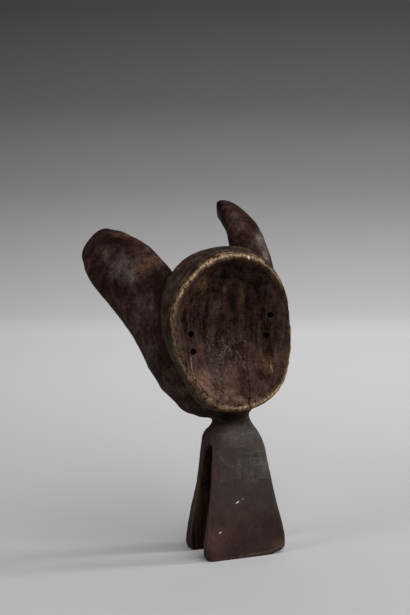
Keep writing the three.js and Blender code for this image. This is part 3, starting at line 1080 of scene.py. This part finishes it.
def lay_rim(w):
    """The browner rim, its tan crest and the bright line along it."""
    inner = w.mix(w.by("mottle", 0.35, 0.65), "rim_dark", "rim_brown")
    w.lay(inner, w.mask("rim"), 0.75)
    tan = w.mix(w.by("thread", 0.40, 0.60), "tan_dark", "tan")
    w.lay(tan, w.mask("crest"), w.by("mottle", 0.34, 0.56, 0.2, 1.0))
    w.lay("bare", w.mask("rim_line"), w.by("fleck", 0.36, 0.58, 0.1, 1.0))


def lay_marks(w):
    """Crackle, dust, scratches, painted highlight glints and the dark furrows of the grain."""
    crackle = w.mask("crackle")
    w.lay("crackle_dark", w.web(240, 0.14), w.by("mottle", 0.38, 0.55), crackle, 0.6)
    w.lay("crackle_pale", w.web(170, 0.11), w.by("patch", 0.40, 0.58), crackle, 0.45)
    w.lay("dust", crackle, w.by("fleck", 0.52, 0.66, 0.0, 0.35))
    w.lay("scratch", w.mask("pale"), w.by("mottle", 0.36, 0.56, 0.2, 0.9))
    # Painted highlight: pale specks where the horns shine
    w.lay("painted_glint", w.mask("gloss_and_painted_glint"), w.by("fleck", 0.54, 0.64, 0.0, 0.7))
    w.lay("scraped", w.mask("upper"), w.by("chatter", 0.52, 0.66, 0.0, 0.7), w.mask("grey_and_painted_highlight"))
    w.lay("dark_wood_and_painted_shade", w.by("grain", 0.30, 0.60, 0.5, 0.0), w.off_jaws)


def vary(w):
    """Makes the colour lighter and darker from place to place, and paints in light and shade."""
    fine = w.total(w.by("fleck", 0.32, 0.68, -0.28, 0.32), w.by("mottle", 0.3, 0.7, -0.3, 0.3))
    fine = w.total(fine, w.by("patch", 0.32, 0.68, -0.38, 0.42))
    fine = w.product(fine, w.total(w.product(w.off_jaws, 0.75), 0.25))
    strokes = w.total(w.by("streak", 0.36, 0.64, -0.4, 0.4), w.by("fibre", 0.3, 0.7, -0.2, 0.2))
    strokes = w.total(strokes, w.by("chatter", 0.35, 0.65, -0.15, 0.15))
    swing = w.total(
        fine,
        w.product(strokes, w.mask("bowl")),
        # painted light towards the bottom of the bowl
        w.product(w.mask("low"), 0.52),
        # painted shade on the sides of the horns
        w.product(w.mask("painted_side_shade"), -0.5),
        # lighter and darker fields on the jaw, and painted light and shade on the adze facets
        w.product(w.math("SUBTRACT", w.mask("tone"), 0.5), 1.6),
    )
    w.colour = w.mix(1.0, w.colour, w.total(swing, 1.0), blend="MULTIPLY")


def lay_darks(w):
    """Over all else: dark stains, painted shade, crevices, chips, cracks and the lacing holes."""
    # Painted shade, with the wood's own dark streaks
    w.lay("dark_wood_and_painted_shade", w.mask("dark"), 0.85)
    w.lay("crevice", w.mask("crevice"), 0.85)
    # The crack colour also paints shade along the crevice beside the left horn
    for name in ("chip", "crack_and_painted_crevice_shade", "pit"):
        w.lay(name, w.mask(name))


def wood_material():
    w = Wood()
    lay_wood(w)
    lay_rim(w)
    lay_marks(w)
    vary(w)
    lay_darks(w)

    dull = w.math("MAXIMUM", w.mask("rim"), w.mask("bowl"))
    dull = w.math("MAXIMUM", dull, w.mask("mouth"))
    rough = w.total(w.by("patch", 0.3, 0.7, 0.38, 0.56), w.product(dull, 0.25))
    polish = w.total(w.product(w.mask("gloss_and_painted_glint"), 0.4), 0.02)
    polish = w.product(polish, w.math("SUBTRACT", 1.0, w.mask("pit")))

    height = w.total(w.noises["grain"], w.product(w.noises["fleck"], 0.8))
    inputs = {"Strength": 0.7, "Distance": 0.4 * MM, "Height": height}
    normal = w.add("ShaderNodeBump", inputs).outputs[0]
    height = w.total(w.noises["patch"], w.product(w.noises["mottle"], 0.6))
    inputs = {"Strength": 0.8, "Distance": 1.0 * MM, "Height": height, "Normal": normal}
    normal = w.add("ShaderNodeBump", inputs).outputs[0]

    inputs = {
        "Base Color": w.colour, "Roughness": rough, "Normal": normal, "Specular IOR Level": polish
    }
    shader = w.add("ShaderNodeBsdfPrincipled", inputs)
    w.add("ShaderNodeOutputMaterial", {"Surface": shader.outputs[0]})
    return w.material


# Stage and light


def make_sweep():
    """A plain pale floor that bends up into a backdrop, square to the camera."""
    line = [(SWEEP_FRONT, 0.0)]
    for i in range(SWEEP_BEND_STEPS + 1):
        turn = i / SWEEP_BEND_STEPS * math.pi / 2
        along = SWEEP_BACK - SWEEP_BEND + SWEEP_BEND * math.sin(turn)
        line.append((along, SWEEP_BEND * (1 - math.cos(turn))))
    line.append((SWEEP_BACK, SWEEP_HEIGHT))
    ahead = Vector((math.sin(CAMERA_HEADING), math.cos(CAMERA_HEADING), 0))
    right = Vector((math.cos(CAMERA_HEADING), -math.sin(CAMERA_HEADING), 0))
    verts = []
    for along, up in line:
        for side in (-1, 1):
            place = ahead * along + right * (side * SWEEP_WIDTH / 2)
            verts.append((place.x, place.y, up))
    faces = [(i, i + 1, i + 3, i + 2) for i in range(0, len(verts) - 2, 2)]
    mesh = bpy.data.meshes.new("sweep")
    mesh.from_pydata(verts, [], faces)
    mesh.shade_smooth()
    mesh.materials.append(sweep_material())
    add_object("sweep", mesh)


def sweep_material():
    """Pale paper, with painted shade darkening it towards the top of the backdrop."""
    n = Nodes("sweep")
    split = n.add("ShaderNodeSeparateXYZ", {0: n.add("ShaderNodeTexCoord").outputs["Object"]})
    tones = n.add("ShaderNodeValToRGB", {"Fac": split.outputs["Z"]})
    bands = tones.color_ramp.elements
    while len(bands) < len(SWEEP_TONES_AND_PAINTED_SHADE):
        bands.new(0.5)
    for band, (at, tone) in zip(bands, SWEEP_TONES_AND_PAINTED_SHADE):
        band.position = at
        band.color = (tone, tone, tone, 1)
    inputs = {"Base Color": tones.outputs["Color"], "Roughness": 0.9, "Specular IOR Level": 0.1}
    shader = n.add("ShaderNodeBsdfPrincipled", inputs)
    n.add("ShaderNodeOutputMaterial", {"Surface": shader.outputs[0]})
    return n.material


def make_lights():
    for name, row in LIGHTS.items():
        data = bpy.data.lights.new(name, "AREA")
        data.shape = "RECTANGLE"
        data.size, data.size_y = row["size"]
        data.energy = row["power"]
        data.spread = row.get("spread", math.pi)
        light = add_object(name, data)
        light.location = row["at"]
        way = Vector(row["faces"]) - Vector(row["at"])
        light.rotation_euler = way.to_track_quat("-Z", "Y").to_euler()
    world = bpy.data.worlds.new("studio")
    world.use_nodes = True
    background = world.node_tree.nodes["Background"]
    background.inputs["Color"].default_value = (1, 1, 1, 1)
    background.inputs["Strength"].default_value = WORLD_LIGHT
    bpy.context.scene.world = world


def main():
    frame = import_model()
    camera = make_camera()
    mask = fine_copy(frame["nodes"]["crest_mask"], "carved_crest_mask")
    carve(mask.data, camera)
    mask.data.shade_smooth()
    mask.data.materials.append(wood_material())
    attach(mask, "root")
    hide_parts("crest_mask")
    make_sweep()
    make_lights()
    bpy.context.scene.view_settings.view_transform = "Standard"


main()
